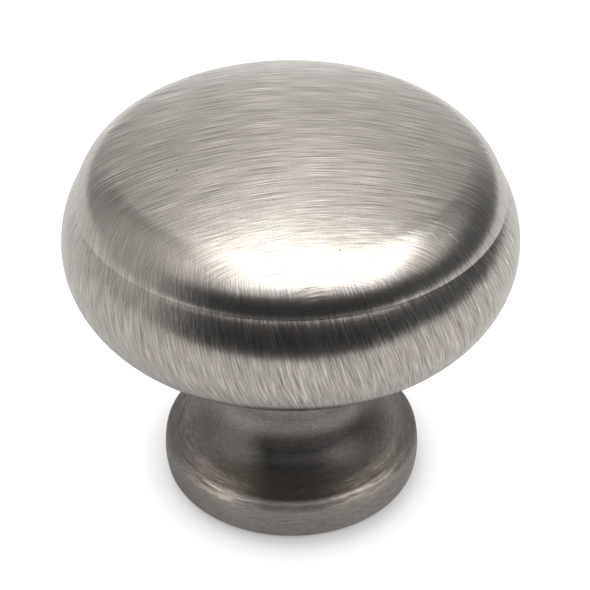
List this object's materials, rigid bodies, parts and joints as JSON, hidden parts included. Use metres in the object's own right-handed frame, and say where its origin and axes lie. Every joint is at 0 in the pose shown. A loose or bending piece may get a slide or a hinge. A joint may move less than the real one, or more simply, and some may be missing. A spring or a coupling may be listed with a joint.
{
  "type": "cabinet knob",
  "caption": "Round cabinet knob with a low domed head above a rounded rim, a waisted neck and a flat foot with a screw hole.",
  "frame": {"origin": "centre of the foot's flat underside, where the knob meets the door or drawer front", "axes": "+Z along the knob's axis, from the foot to the crown of the head; the knob is round, so +X and +Y are free, and the brushing on the dome runs along X"},
  "size_m": [0.032, 0.032, 0.0292],
  "materials": {
    "plated_metal": "brushed antique silver plating, satin"
  },
  "bodies": {
    "root": {"knob": "plated_metal"}
  },
  "joints": []
}
